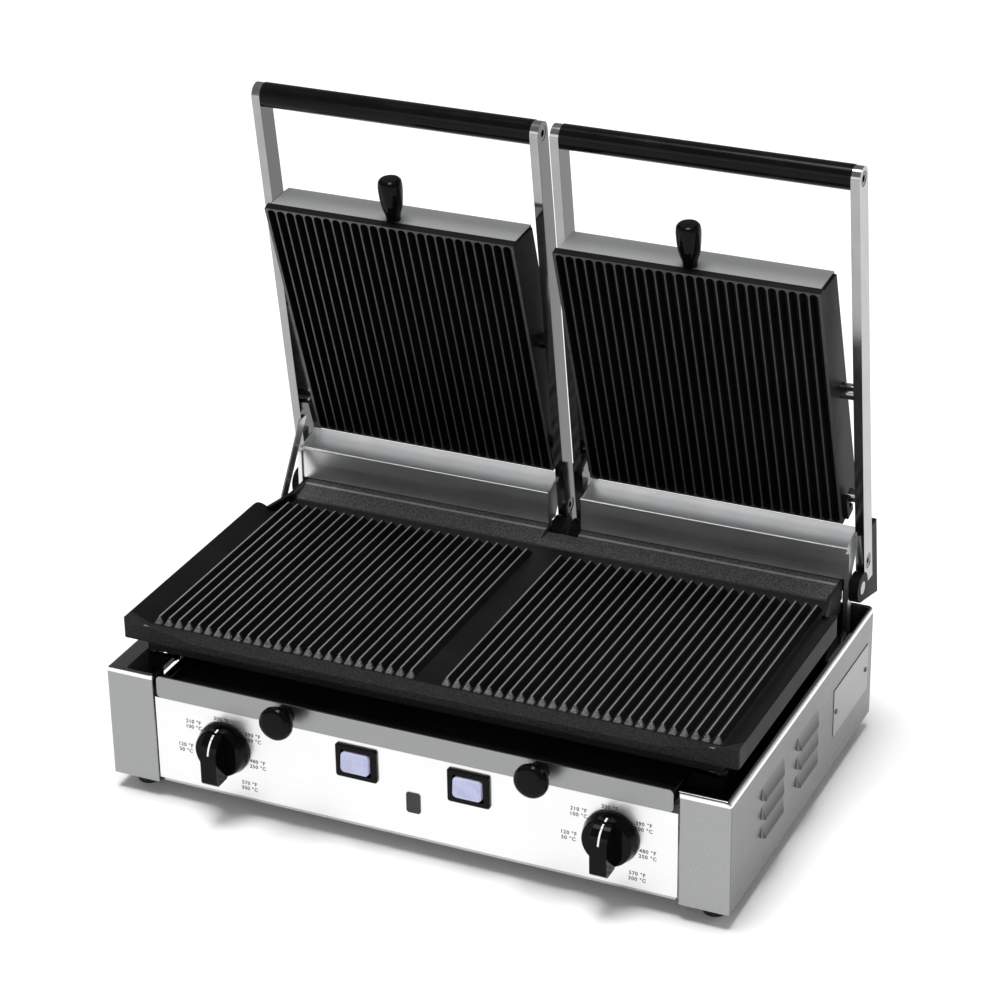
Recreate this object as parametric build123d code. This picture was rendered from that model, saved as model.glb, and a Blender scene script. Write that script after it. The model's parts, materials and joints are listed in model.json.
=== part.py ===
from build123d import *
import math
import os

# Double contact grill with two hinged upper plates, shown open.
# Frame: millimetres, +Z up, front towards -Y, origin on the bench under the middle of the grill.

# ---------------------------------------------------------------- driving dimensions
# Cabinet
width = 570.0
depth = 355.0
cabinet_height = 106.0
foot_height = 15.0
front_y = -179.66
sheet = 1.5
thin_sheet = 1.2
post_width = 45.0
corner_radius = 2.5
top_bend_radius = 5.0
flange_width = 28.0
post_flange_depth = 38.0
post_return = 20.0
flange_end = 300.0
louvre_length = 52.0
louvre_height = 13.0
louvre_stand_out = 3.5
louvre_front_taper = 1.8
louvre_rear_taper = 7.0
louvre_groups = (72.0, 157.0)
louvre_rows = (80.0, 62.0, 44.0)
slot_pitch = 36.0
foot_x = 264.0
foot_inset_y = 24.0

# Front controls, heights measured from the cabinet's lower edge
panel_setback = 2.0
panel_bottom = 4.4
panel_top = 84.0
control_offset = 4.0
thermostat_spacing = 356.0
thermostat_height = 48.7
switch_spacing = 103.0
switch_height = 64.0
bezel_size = (38.4, 31.4)
bezel_opening = (28.6, 22.6)
switch_body = (29.4, 23.4)
shaft_radius = 3.0
running_gap = 0.06
knob_skirt_radius = 24.3
knob_reach = 29.0
rocker_tilt = 5.0
rocker_setback = 2.4
rocker_pin_radius = 1.3
gland_x = 190.0
gland_z = foot_height + 42.0

# Drip tray
tray_half_width = 232.0
tray_depth = 110.0
tray_bottom = 87.0
tray_top = 97.0
tray_front_bottom = 85.5
tray_front_half_width = 236.0
tray_knob_x = 116.0
tray_knob_radius = 15.0

# Lower griddle, heights measured from the cabinet's lower edge
griddle_half_width = 281.0
griddle_front = 26.0
rim_rear = 270.0
rim_corner_radius = 8.0
griddle_rear = 334.0
griddle_neck_half_width = 263.5
valley_height = 130.0
rib_height = 6.5
rib_count = 26
rib_pitch = 9.59
rib_first_x = 16.4
rib_crest = 1.3
rib_root = 7.4
rib_front = 41.0
rib_rear = 288.0
rib_end_slope = 5.0
flange_bottom = 121.0
body_bottom = 108.0
front_lip_height = 127.5
corner_height = 139.5

# Hinge and arms
hinge_y = front_y + 343.0
hinge_z = foot_height + 128.0
hub_radius = 13.5
hinge_shaft_radius = 6.0
arm_foot_y = front_y + 359.0
arm_foot_z = foot_height + 128.0
arm_tilt = 8.35
arm_thickness = 8.0
arm_depth = 21.0
arm_wall = 1.5
arm_length = 399.0
outer_arm_x = 269.5
inner_arm_x = 5.3
tongue_length = 38.0
lever_screw_height = 21.0
lever_screw_radius = 7.4
lever_screw_recess = 0.5
pivot_height = 193.0
stop_height = 84.0
stop_offset = 4.4
pivot_radius = 7.0
grip_radius = 11.0
grip_bore = 6.3
rod_radius = 6.0
socket_screw_radius = 4.0
socket_head_radius = 6.5

# Upper plates, in their own frame: y from the front edge, z from the rib tips
plate_x0 = 18.0
plate_x1 = 256.0
plate_length = 260.5
plate_angle = -71.7
plate_pivot_y = 127.6
plate_pivot_z = 27.0
plate_thickness = 18.0
flange_thickness = 7.6
plate_wall = 8.0
head_height = 40.6
cover_setback = 8.2
cover_rear_setback = 4.2
cover_front = 0.4
cover_knob_depth = 13.5
cover_knob_lean = 10.0
plate_border = 1.0
upper_grooves = 26
upper_pitch = 9.02

# Splash guards
guard_x0 = 15.8
guard_x1 = 266.4
guard_front = 330.0
guard_rear = 358.0
guard_bottom = 139.9
guard_hem_height = 170.0
guard_rear_height = 178.0
guard_leg_bottom = 82.0

# Derived levels
base_z = foot_height
top_z = foot_height + cabinet_height
back_y = front_y + depth
half_width = width / 2


# ---------------------------------------------------------------- helpers
def block(x0, x1, y0, y1, z0, z1):
    """Box between two corners."""
    centre = ((x0 + x1) / 2, (y0 + y1) / 2, (z0 + z1) / 2)
    return Pos(*centre) * Box(abs(x1 - x0), abs(y1 - y0), abs(z1 - z0))


def prism_x(points, x0, x1):
    """Solid with the given (y, z) outline between two x positions."""
    outline = Polyline([(x0, y, z) for y, z in points], close=True)
    return extrude(make_face(outline), amount=x1 - x0, dir=(1, 0, 0))


def prism_y(points, y0, y1):
    """Solid with the given (x, z) outline between two y positions."""
    outline = Polyline([(x, y0, z) for x, z in points], close=True)
    return extrude(make_face(outline), amount=y1 - y0, dir=(0, 1, 0))


def prism_z(points, z0, z1):
    """Solid with the given (x, y) outline between two z levels."""
    outline = Polyline([(x, y, z0) for x, y in points], close=True)
    return extrude(make_face(outline), amount=z1 - z0, dir=(0, 0, 1))


def rod_x(y, z, radius, x0, x1):
    """Round bar along X."""
    return Pos((x0 + x1) / 2, y, z) * Rot(0, 90, 0) * Cylinder(radius, abs(x1 - x0))


def rod_y(x, z, radius, y0, y1):
    """Round bar along Y."""
    return Pos(x, (y0 + y1) / 2, z) * Rot(90, 0, 0) * Cylinder(radius, abs(y1 - y0))


def rod_z(x, y, radius, z0, z1):
    """Round bar along Z."""
    return Pos(x, y, (z0 + z1) / 2) * Cylinder(radius, abs(z1 - z0))


def turned_y(x, z, profile):
    """Solid of revolution about a line along Y; profile is a list of (radius, y)."""
    outline = Polyline([(radius, y, 0) for radius, y in profile], close=True)
    return Pos(x, 0, z) * revolve(make_face(outline), axis=Axis.Y)


def fuse(pieces):
    """One solid out of touching pieces."""
    result = pieces[0]
    for piece in pieces[1:]:
        result += piece
    return result


def edges_at(part, axis, **where):
    """Edges parallel to an axis whose centre lies at the given coordinates."""
    chosen = []
    for edge in part.edges().filter_by(axis):
        centre = edge.center()
        if all(abs(getattr(centre, name) - value) < 0.01 for name, value in where.items()):
            chosen.append(edge)
    return chosen


def both_sides(part):
    """The right-hand piece and its mirror image, as a group of separate solids."""
    return Compound(children=[part, mirror(part, about=Plane.YZ)])


def arm_frame():
    """Frame of the arms: z along the arm, origin at its foot."""
    return Location((0, arm_foot_y, arm_foot_z), (arm_tilt, 0, 0))


def pivot_point():
    """Where the upper plate's pivot axis crosses the Y-Z plane."""
    centre = (arm_frame() * Location((0, 0, pivot_height))).position
    return centre.Y, centre.Z


def plate_frame():
    """Frame of an upper plate: y towards its rear edge, z away from its ribs."""
    turn = math.radians(plate_angle)
    pivot_y, pivot_z = pivot_point()
    y = pivot_y - plate_pivot_y * math.cos(turn) + plate_pivot_z * math.sin(turn)
    z = pivot_z - plate_pivot_y * math.sin(turn) - plate_pivot_z * math.cos(turn)
    return Location((0, y, z), (plate_angle, 0, 0))


# ---------------------------------------------------------------- cabinet
def rounded_corner_box(inset):
    """Right-hand end of the cabinet as a block with its outer edges rounded."""
    x0, x1 = half_width - post_width + inset, half_width - inset
    y0, y1 = front_y + inset, back_y - inset
    z0, z1 = base_z - 10 * inset, top_z - inset
    body = block(x0, x1, y0, y1, z0, z1)
    body = fillet(edges_at(body, Axis.Y, X=x1, Z=z1), top_bend_radius - inset)
    rounded = edges_at(body, Axis.Z, X=x1) + edges_at(body, Axis.Z, X=x0, Y=y0)
    rounded += edges_at(body, Axis.X, Y=y0)[-1:]
    return fillet(rounded, corner_radius - inset)


def louvre_ends(inset, x_low, x_high, y0, z_low, z_high):
    """Block that cuts a louvre's two ends to a slope, steep at the front and gentle at the rear."""
    y_front, y_rear = y0 + inset, y0 + louvre_length - inset
    return prism_z([(half_width - 5, y_front), (x_low, y_front), (x_high, y_front + louvre_front_taper),
                    (x_high, y_rear - louvre_rear_taper), (x_low, y_rear), (half_width - 5, y_rear)],
                   z_low, z_high)


def louvre(y0, z_top):
    """Pressed hood, open downwards, and the slot that it stands over."""
    x_wall, x_out, z_low = half_width - sheet, half_width + louvre_stand_out, z_top - louvre_height
    # The hood's face leans in towards its top and drops straight for its last 1.5 mm.
    face = [(x_wall, z_low), (x_out, z_low), (x_out, z_low + 1.5), (half_width, z_top), (x_wall, z_top)]
    hood = prism_y(face, y0, y0 + louvre_length)
    hood &= louvre_ends(0, half_width, x_out, y0, z_low - 1, z_top + 1)
    # The hollow follows the face about 1.3 mm inside it and breaks through the wall behind.
    hollow = prism_y([(x_wall - 1, z_low - 1), (x_out - 1.3, z_low - 1), (x_out - 1.3, z_low + 1.2),
                      (half_width - 0.6, z_top - 2.5), (x_wall - 1, z_top - 2.5)],
                     y0 + 3, y0 + louvre_length - 3)
    hollow &= louvre_ends(3, half_width - 0.6, x_out - 1, y0, z_low - 2, z_top)
    return hood, hollow


def side_panel():
    """Right side wall with its wrapped front post, top flange and louvres."""
    shell = rounded_corner_box(0) - rounded_corner_box(sheet)
    inner_x = half_width - post_width
    shell -= block(inner_x - 1, half_width - flange_width, front_y + post_flange_depth, back_y + 1,
                   base_z - 1, top_z + 1)
    shell -= block(inner_x - 1, inner_x + sheet + 0.01, front_y + post_return,
                   front_y + post_flange_depth + 1, base_z - 1, top_z - sheet)
    shell -= block(inner_x - 1, half_width - corner_radius, front_y + flange_end, back_y - sheet,
                   top_z - sheet - 1, top_z + 1)
    for group_y in louvre_groups:
        for row_z in louvre_rows:
            hood, hollow = louvre(front_y + group_y, base_z + row_z)
            shell = shell + hood - hollow
    return shell


def base_pan():
    """Floor sheet with turned-up edges."""
    x, y0, y1 = half_width - sheet - 0.3, front_y + 5.0, back_y - sheet - 0.3
    tray = block(-x, x, y0, y1, base_z, base_z + 12)
    tray -= block(-x + thin_sheet, x - thin_sheet, y0 + thin_sheet, y1 - thin_sheet,
                  base_z + thin_sheet, base_z + 13)
    for slot in range(-4, 5):
        x_slot = slot * slot_pitch
        tray -= block(x_slot - 12, x_slot + 12, front_y + 150, front_y + 156, base_z - 1, base_z + 2)
    for x_sign in (-1, 1):
        tray -= block(x_sign * (half_width - post_width + 3), x_sign * (half_width - post_width - 3),
                      y0 - 1, front_y + post_return + 1, base_z - 1, base_z + 13)
    tray -= block(-x, x, y0 - 1, front_y + post_return + 1, base_z + panel_bottom - 0.4, base_z + 13)
    return chamfer(edges_at(tray, Axis.Z, X=x, Y=y1) + edges_at(tray, Axis.Z, X=-x, Y=y1), 1.0)


def thermostat_positions():
    """X of the two thermostat axes, left then right."""
    return control_offset - thermostat_spacing / 2, control_offset + thermostat_spacing / 2


def switch_positions():
    """X of the two switch centres, left then right."""
    return control_offset - switch_spacing / 2, control_offset + switch_spacing / 2


def front_panel():
    """Recessed control panel with turned edges, shaft holes and switch cut-outs."""
    x = half_width - post_width - 0.6
    y0 = front_y + panel_setback
    panel = block(-x, x, y0, y0 + 14, base_z + panel_bottom, base_z + panel_top)
    panel -= block(-x - 1, x + 1, y0 + thin_sheet, y0 + 15,
                   base_z + panel_bottom + thin_sheet, base_z + panel_top - thin_sheet)
    panel -= block(-x - 1, x + 1, y0 + 12, y0 + 15, base_z + panel_bottom - 1, base_z + panel_top - 5)
    for centre in thermostat_positions():
        panel -= rod_y(centre, base_z + thermostat_height, 5.5, y0 - 1, y0 + 2)
    for centre in switch_positions():
        panel -= block(centre - 15.0, centre + 15.0, y0 - 1, y0 + 2,
                       base_z + switch_height - 12.0, base_z + switch_height + 12.0)
    return panel


def rear_panel():
    """Back wall with cooling slots and the cable gland's hole."""
    x = half_width - sheet - 1.1
    y1 = back_y - sheet - 0.1
    panel = block(-x, x, y1 - thin_sheet, y1, base_z + 13, top_z - sheet - 0.3)
    for slot in range(-5, 6):
        x_slot = slot * slot_pitch
        panel -= block(x_slot - 13, x_slot + 13, y1 - 3, y1 + 1, base_z + 70, base_z + 75)
    panel -= rod_y(gland_x, gland_z, 8.2, y1 - 4, y1 + 2)
    return panel


def cable_gland():
    """Hollow gland with a collar outside and a lock nut inside."""
    y1 = back_y - sheet - 0.1
    gland = rod_y(gland_x, gland_z, 8.0, y1 - 10, y1 + 4)
    gland += rod_y(gland_x, gland_z, 11.5, y1 + 0.05, y1 + 7)
    gland += Pos(gland_x, y1 - thin_sheet - 3, gland_z) * Rot(90, 0, 0) * extrude(
        RegularPolygon(11.5, 6), amount=2.5, both=True)
    gland += turned_y(gland_x, gland_z, [(0, y1 + 7), (10, y1 + 7), (8, y1 + 17), (0, y1 + 17)])
    return gland - rod_y(gland_x, gland_z, 4.5, y1 - 12, y1 + 20)


def feet():
    """Four rubber feet under the corners."""
    foot = Solid.make_cone(10.0, 12.0, foot_height, Plane.XY)
    foot = fillet(foot.edges().sort_by(Axis.Z)[0], 1.5)
    places = [(x, y) for x in (-foot_x, foot_x) for y in (front_y + foot_inset_y, back_y - foot_inset_y)]
    return Compound(children=[Pos(x, y, 0) * foot for x, y in places])


def badge():
    """Plain rounded plate on the control panel."""
    plate = extrude(RectangleRounded(13.0, 19.5, 2.5), amount=0.6)
    return Pos(control_offset, front_y + panel_setback, base_z + 37) * Rot(90, 0, 0) * plate


def rating_plate():
    """Blank plate on the right side wall."""
    return block(half_width, half_width + 0.6, front_y + 250, front_y + 341, base_z + 30, base_z + 75)


def rating_plate_rivets():
    """Two dome rivets that hold the blank plate."""
    rivets = []
    for y in (front_y + 256, front_y + 335):
        rivets.append(rod_x(y, base_z + 52, 2.2, half_width + 0.6, half_width + 1.4))
    return Compound(children=rivets)


def terminal_block():
    """Supply terminals on the cabinet floor."""
    body = block(150, 210, back_y - 60, back_y - 38, base_z + thin_sheet, base_z + 24)
    for pole in range(3):
        body -= rod_z(160 + 20 * pole, back_y - 49, 4, base_z + 14, base_z + 25)
    return body


# ---------------------------------------------------------------- controls
def thermostats():
    """Thermostat bodies behind the panel, each with a threaded bush."""
    bodies = []
    y0 = front_y + panel_setback + thin_sheet
    z = base_z + thermostat_height
    for x in thermostat_positions():
        body = block(x - 20, x + 20, y0 + 0.1, y0 + 36, z - 18, z + 18)
        body += rod_y(x, z, 5.0, y0 - 2.0, y0 + 2)
        body -= rod_y(x, z, shaft_radius + running_gap, y0 - 3, y0 + 24)
        bodies.append(body)
    return Compound(children=bodies)


def thermostat_shaft(x):
    """Spindle from the thermostat into the knob."""
    y0 = front_y + panel_setback + thin_sheet
    return rod_y(x, base_z + thermostat_height, shaft_radius, y0 - 18, y0 + 23)


def thermostat_knob(x):
    """Round skirt with a raised bar grip, sloped towards the pointer end."""
    z = base_z + thermostat_height
    back = front_y + panel_setback - 1.2
    tip = front_y - knob_reach + panel_setback
    skirt_front = back - 11.0
    skirt = turned_y(x, z, [(0, back), (knob_skirt_radius, back), (knob_skirt_radius, back - 1.5),
                            (knob_skirt_radius - 2.5, skirt_front + 0.8),
                            (knob_skirt_radius - 3.5, skirt_front), (0, skirt_front)])
    low, high, half_grip = -22.5, 22.0, 7.5
    outline = [(skirt_front + 4, z + low + 3), (skirt_front, z + low), (tip + 2.5, z + low),
               (tip, z + low + 2.5)]
    slope_start, slope_steps = 4.0, 8
    for step in range(slope_steps + 1):
        angle = math.radians(90 * step / slope_steps)
        outline.append((skirt_front - (skirt_front - tip) * math.cos(angle),
                        z + slope_start + (high - slope_start) * math.sin(angle)))
    outline.append((skirt_front + 4, z + high))
    grip = prism_x(outline, x - half_grip, x + half_grip)
    grip = grip & rod_y(x, z, knob_skirt_radius - 0.5, tip - 5, back)
    knob = skirt + grip
    return knob - rod_y(x, z, shaft_radius, front_y + panel_setback + thin_sheet - 18, back + 2)


def switch_housings():
    """Switch bezels with their bodies, hollow at the front for the rocker."""
    housings = []
    y0 = front_y + panel_setback
    z = base_z + switch_height
    for x in switch_positions():
        bezel = Pos(x, y0, z) * Rot(90, 0, 0) * extrude(
            RectangleRounded(bezel_size[0], bezel_size[1], 2.5), amount=2.6)
        bezel = chamfer(bezel.faces().sort_by(Axis.Y)[0].edges(), 0.8)
        body = block(x - switch_body[0] / 2, x + switch_body[0] / 2, y0 - 0.5, y0 + 26,
                     z - switch_body[1] / 2, z + switch_body[1] / 2)
        hollow = block(x - bezel_opening[0] / 2 + 0.4, x + bezel_opening[0] / 2 - 0.4, y0 - 4, y0 + 9,
                       z - bezel_opening[1] / 2 + 0.4, z + bezel_opening[1] / 2 - 0.4)
        pin_hole = rod_x(y0 + rocker_setback, z, rocker_pin_radius + running_gap, x - 20, x + 20)
        pin_hole &= block(x - 14.9, x + 14.9, y0 - 5, y0 + 9, z - 5, z + 5)
        housings.append(bezel + body - hollow - pin_hole)
    return Compound(children=housings)


def rocker(x):
    """Illuminated rocker cap on its two trunnions, tipped with its upper edge in."""
    y0 = front_y + panel_setback
    z = base_z + switch_height
    size_x, size_z = 26.4, 18.6
    cap = Rot(90, 0, 0) * extrude(RectangleRounded(size_x, size_z, 4.0), amount=5.0, both=True)
    cap = Pos(0, -3.0, 0) * fillet(cap.faces().sort_by(Axis.Y)[0].edges(), 1.6)
    cap += rod_x(0, 0, rocker_pin_radius, -switch_body[0] / 2, switch_body[0] / 2)
    return Pos(x, y0 + rocker_setback, z) * Rot(-rocker_tilt, 0, 0) * cap


# ---------------------------------------------------------------- drip tray
def drip_tray():
    """Shallow pan under the griddle's front lip."""
    y0, y1 = front_y + sheet, front_y + tray_depth
    pan = block(-tray_half_width, tray_half_width, y0, y1, base_z + tray_bottom, base_z + tray_top)
    return pan - block(-tray_half_width + thin_sheet, tray_half_width - thin_sheet,
                       y0 + thin_sheet, y1 - thin_sheet, base_z + tray_bottom + thin_sheet,
                       base_z + tray_top + 1)


def tray_front():
    """Brushed front strip of the tray with rounded ends."""
    height = cabinet_height - tray_front_bottom - 0.2
    strip = extrude(RectangleRounded(2 * tray_front_half_width, height, 4.0), amount=sheet)
    return Pos(0, front_y + sheet, base_z + tray_front_bottom + height / 2) * Rot(90, 0, 0) * strip


def tray_knobs():
    """Two turned pull knobs, narrow at the neck."""
    z = base_z + (tray_front_bottom + cabinet_height) / 2 + 1.2
    r = tray_knob_radius
    profile = [(0, 0), (8.6, 0), (8.2, -3), (8.6, -6), (10.5, -9.5), (r - 1.2, -12.5), (r, -15.5),
               (r, -18.5), (r - 0.8, -20.6), (r - 2.6, -22), (r - 5, -22.6), (0, -23)]
    knobs = []
    for x in (control_offset - tray_knob_x, control_offset + tray_knob_x):
        knobs.append(Pos(0, front_y, 0) * turned_y(x, z, profile))
    return Compound(children=knobs)


def tray_runners():
    """Two angle rails that the tray slides on."""
    x0, x1 = tray_half_width - 7.0, half_width - post_width - 0.3
    z0 = base_z + tray_bottom - 1.9
    y0, y1 = front_y + 24.0, front_y + 150.0
    rail = block(x0, x1, y0, y1, z0, z0 + thin_sheet + 0.3)
    rail += block(x1 - sheet, x1, y0, y1, z0, z0 + 11)
    rail += block(x1 - sheet, half_width - sheet, y1 - 12, y1, z0, z0 + 11)
    return both_sides(rail)


# ---------------------------------------------------------------- lower griddle
def rib_teeth(first_x, tip_z, root_z, y0, y1, slope):
    """Row of tapered ribs along Y with sloped ends."""
    side = [(y0, root_z - 1), (y0, root_z), (y0 + slope, tip_z + 0.01),
            (y1 - slope, tip_z + 0.01), (y1, root_z), (y1, root_z - 1)]
    ribs = []
    for index in range(rib_count):
        x = first_x + index * rib_pitch
        outline = [(x - rib_root / 2, root_z), (x - rib_crest / 2, tip_z),
                   (x + rib_crest / 2, tip_z), (x + rib_root / 2, root_z)]
        ribs.append(prism_y(outline, y0, y1) & prism_x(side, x - rib_root, x + rib_root))
    return ribs


def front_corner():
    """Right front corner of the griddle, rising from the lip to the rim."""
    y0, y1 = front_y + griddle_front, front_y + rib_front
    x_lip, x_rib, x_rim = 214.0, 262.0, griddle_half_width
    share = (x_rib - x_lip) / (x_rim - x_lip)
    mid_height = front_lip_height + share * (corner_height - front_lip_height) + 1.6
    near = [(x_lip, flange_bottom), (x_lip, front_lip_height), (x_rib, mid_height),
            (x_rim, corner_height), (x_rim, flange_bottom)]
    far = [(x_lip, flange_bottom), (x_lip, valley_height), (x_rib, valley_height),
           (x_rim, corner_height), (x_rim, flange_bottom)]
    faces = []
    for y, outline in ((y0, near), (y1, far)):
        loop = Polyline([(x, y, base_z + z) for x, z in outline], close=True)
        faces.append(make_face(loop))
    return loft(faces, ruled=True)


def griddle_side():
    """Right-hand rim, front corner and rear cheek of the griddle."""
    floor, rim = base_z + valley_height, base_z + corner_height
    band = prism_y([(262.0, floor - 1), (262.0, floor), (griddle_half_width - 1.5, rim),
                    (griddle_half_width, rim), (griddle_half_width, floor - 1)],
                   front_y + rib_front, front_y + rim_rear)
    band = fillet(edges_at(band, Axis.Z, X=griddle_half_width, Y=front_y + rim_rear), rim_corner_radius)
    x_neck, x_wide = griddle_neck_half_width, griddle_neck_half_width + 6.5
    y_wide, y_neck = front_y + rim_rear - 4, front_y + rim_rear + 30
    shoulder = prism_z([(x_neck - 1.5, y_wide), (x_wide, y_wide), (x_neck, y_neck), (x_neck - 1.5, y_neck)],
                       base_z + flange_bottom, floor)
    slanted = prism_z([(x_wide - 3.5, y_wide), (x_wide, y_wide), (x_neck, y_neck), (x_neck - 3.5, y_neck)],
                      floor - 1, floor + 7.3)
    cheek = prism_x([(y_neck - 0.5, floor - 1), (y_neck - 0.5, floor + 7.3),
                     (front_y + 322, floor + 7.5), (front_y + griddle_rear - 2, floor + 9),
                     (front_y + griddle_rear - 2, floor - 1)], x_neck - 3.5, x_neck)
    return fuse([band, shoulder, slanted, cheek, front_corner()])


def lower_griddle():
    """One iron casting with two ribbed zones, raised rims and a rear upstand."""
    floor, under = base_z + valley_height, base_z + flange_bottom
    plate = block(-griddle_half_width, griddle_half_width, front_y + rib_front, front_y + rim_rear,
                  under, floor)
    rear_corners = edges_at(plate, Axis.Z, X=griddle_half_width, Y=front_y + rim_rear)
    rear_corners += edges_at(plate, Axis.Z, X=-griddle_half_width, Y=front_y + rim_rear)
    plate = fillet(rear_corners, rim_corner_radius)
    lip = prism_x([(front_y + griddle_front, under), (front_y + griddle_front, base_z + front_lip_height),
                   (front_y + rib_front, floor), (front_y + rib_front, under)], -214.0, 214.0)
    # Behind the ribs the floor runs level, then bends up into a leaning upstand with a small overhang.
    y_bend, y_rear, y_under = front_y + 303, front_y + griddle_rear, front_y + 329
    rear = prism_x([(front_y + rim_rear, under), (front_y + rim_rear, floor), (y_bend, floor),
                    (y_bend + 3, floor + 1), (y_rear, floor + 9.5), (y_rear, floor + 6.5),
                    (y_under, floor + 4), (y_under, under)],
                   -griddle_neck_half_width, griddle_neck_half_width)
    keel = block(-griddle_neck_half_width, griddle_neck_half_width, front_y + 36, front_y + 326,
                 base_z + body_bottom, under)
    side = griddle_side()
    casting = fuse([plate, lip, rear, keel, side, mirror(side, about=Plane.YZ)])
    ribs = rib_teeth(rib_first_x, floor + rib_height, floor - 0.5, front_y + rib_front,
                     front_y + rib_rear, rib_end_slope)
    ribs += [mirror(rib, about=Plane.YZ) for rib in ribs]
    casting = casting.fuse(*ribs)
    # A notch in the middle of the rear edge clears the inner arms.
    casting -= block(-16, 16, front_y + 328, front_y + 340, under - 1, base_z + corner_height + 5)
    casting -= block(-16, 16, front_y + 312, front_y + 340, floor + 2.2, base_z + corner_height + 5)
    corners = edges_at(casting, Axis.Z, X=griddle_half_width, Y=front_y + griddle_front)
    corners += edges_at(casting, Axis.Z, X=-griddle_half_width, Y=front_y + griddle_front)
    return fillet(corners, 2.5)


def heater_path(x0, x1, y0, y1, z):
    """Serpentine line of four straight legs joined by half-round bends."""
    pitch = (x1 - x0) / 3
    points = [(x0, y1 + 12, z), (x0, y0, z), (x0 + pitch, y0, z), (x0 + pitch, y1, z),
              (x0 + 2 * pitch, y1, z), (x0 + 2 * pitch, y0, z), (x1, y0, z), (x1, y1 + 12, z)]
    return FilletPolyline(points, radius=pitch / 2 - 1)


def heater(x0, x1, y0, y1, z):
    """Tubular heating element along the serpentine line."""
    path = heater_path(x0, x1, y0, y1, z)
    return sweep(Plane(path @ 0, z_dir=path % 0) * Circle(3.4), path=path)


def lower_heaters():
    """One heating element under each ribbed zone."""
    element = heater(45, 231, front_y + 70, front_y + 270, base_z + body_bottom - 3.5)
    return both_sides(element)


def heater_clamps():
    """Flat bars that press the lower elements against the casting."""
    z1 = base_z + body_bottom - 7.0
    bar = block(34, 242, front_y + 165, front_y + 185, z1 - 2, z1)
    bar += rod_z(138, front_y + 175, 4.0, z1 - 5, base_z + body_bottom)
    return both_sides(bar)


def griddle_studs():
    """Four round-headed levelling studs between the side walls' flanges and the griddle."""
    studs = []
    for x in (-260.0, 260.0):
        for y in (front_y + 43, front_y + 290):
            studs.append(rod_z(x, y, 5.5, top_z + 0.02, base_z + body_bottom))
    return Compound(children=studs)


# ---------------------------------------------------------------- splash guards and hinge supports
def guard_side(x0, with_leg):
    """Side wall of a splash guard, with a leg down into the cabinet on the outer side."""
    y0, y1 = front_y + guard_front, front_y + guard_rear
    outline = [(y0, base_z + guard_hem_height), (y1, base_z + guard_rear_height)]
    if with_leg:
        outline += [(y1, base_z + guard_bottom + 20), (y0 + 16, base_z + guard_bottom),
                    (y0 + 16, base_z + guard_leg_bottom), (y0, base_z + guard_leg_bottom)]
    else:
        outline += [(y1, base_z + guard_bottom + 20), (y0 + 16, base_z + guard_bottom),
                    (y0, base_z + guard_bottom)]
    wall = prism_x(outline, x0, x0 + thin_sheet)
    return wall - rod_x(hinge_y, hinge_z, hinge_shaft_radius + 1, x0 - 1, x0 + 2)


def splash_guard():
    """Right-hand sheet trough behind the griddle: low front wall, leaning rear wall."""
    x0, x1 = guard_x0, guard_x1
    y0, y1 = front_y + guard_front, front_y + guard_rear
    z0 = base_z + guard_bottom
    section = [(y0, z0), (y0, base_z + guard_hem_height), (y0 + thin_sheet, base_z + guard_hem_height),
               (y0 + thin_sheet, z0 + 2.4), (y0 + 15.6, z0 + 2.4),
               (y1 - thin_sheet, base_z + guard_rear_height), (y1, base_z + guard_rear_height),
               (y0 + 16.5, z0 + thin_sheet), (y0 + thin_sheet, z0 + thin_sheet), (y0 + thin_sheet, z0)]
    trough = prism_x(section, x0, x1)
    hem = rod_x(y0 + 0.4, base_z + guard_hem_height, 1.5, x0, x1)
    strip_rear = hinge_y - hub_radius - 0.35
    strip = block(x1 - thin_sheet, outer_arm_x - 0.35, strip_rear - thin_sheet, strip_rear,
                  base_z + guard_leg_bottom, base_z + guard_hem_height - 4)
    link = block(x1 - thin_sheet, x1, strip_rear - thin_sheet, y0 + 1, base_z + guard_leg_bottom,
                 base_z + guard_hem_height - 4)
    return fuse([trough, hem, guard_side(x0, False), guard_side(x1 - thin_sheet, True), strip + link])


def hinge_brackets():
    """Upright plates on the cabinet floor that hold the hinge shafts, two for each grill."""
    plates = []
    for x0 in (-264.8, -22.0, 19.0, 261.8):
        plate = block(x0, x0 + 3, front_y + 335.2, front_y + 351, base_z + thin_sheet, hinge_z)
        plate += rod_x(hinge_y, hinge_z, 7.8, x0, x0 + 3)
        foot_x0 = x0 - 12 if x0 > 0 else x0 + 3
        plate += block(foot_x0, foot_x0 + 12, front_y + 335.2, front_y + 351,
                       base_z + thin_sheet, base_z + 4)
        plate -= rod_x(hinge_y, hinge_z, hinge_shaft_radius + 0.02, x0 - 1, x0 + 4)
        plates.append(plate)
    return Compound(children=plates)


def hinge_shafts():
    """Fixed shafts that the levers turn on."""
    return both_sides(rod_x(hinge_y, hinge_z, hinge_shaft_radius, inner_arm_x - 2.6, outer_arm_x + 8.2))


def counterbalance_springs():
    """Torsion springs wound round the hinge shafts."""
    coils = []
    for x0 in (32.0, 205.0):
        helix = Helix(pitch=4.4, height=44.0, radius=9.4)
        coil = sweep(Plane(helix @ 0, z_dir=helix % 0) * Circle(1.4), path=helix, is_frenet=True)
        coils.append(Pos(x0, hinge_y, hinge_z) * Rot(0, 90, 0) * coil)
    coils += [mirror(coil, about=Plane.YZ) for coil in coils]
    return Compound(children=coils)


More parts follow.
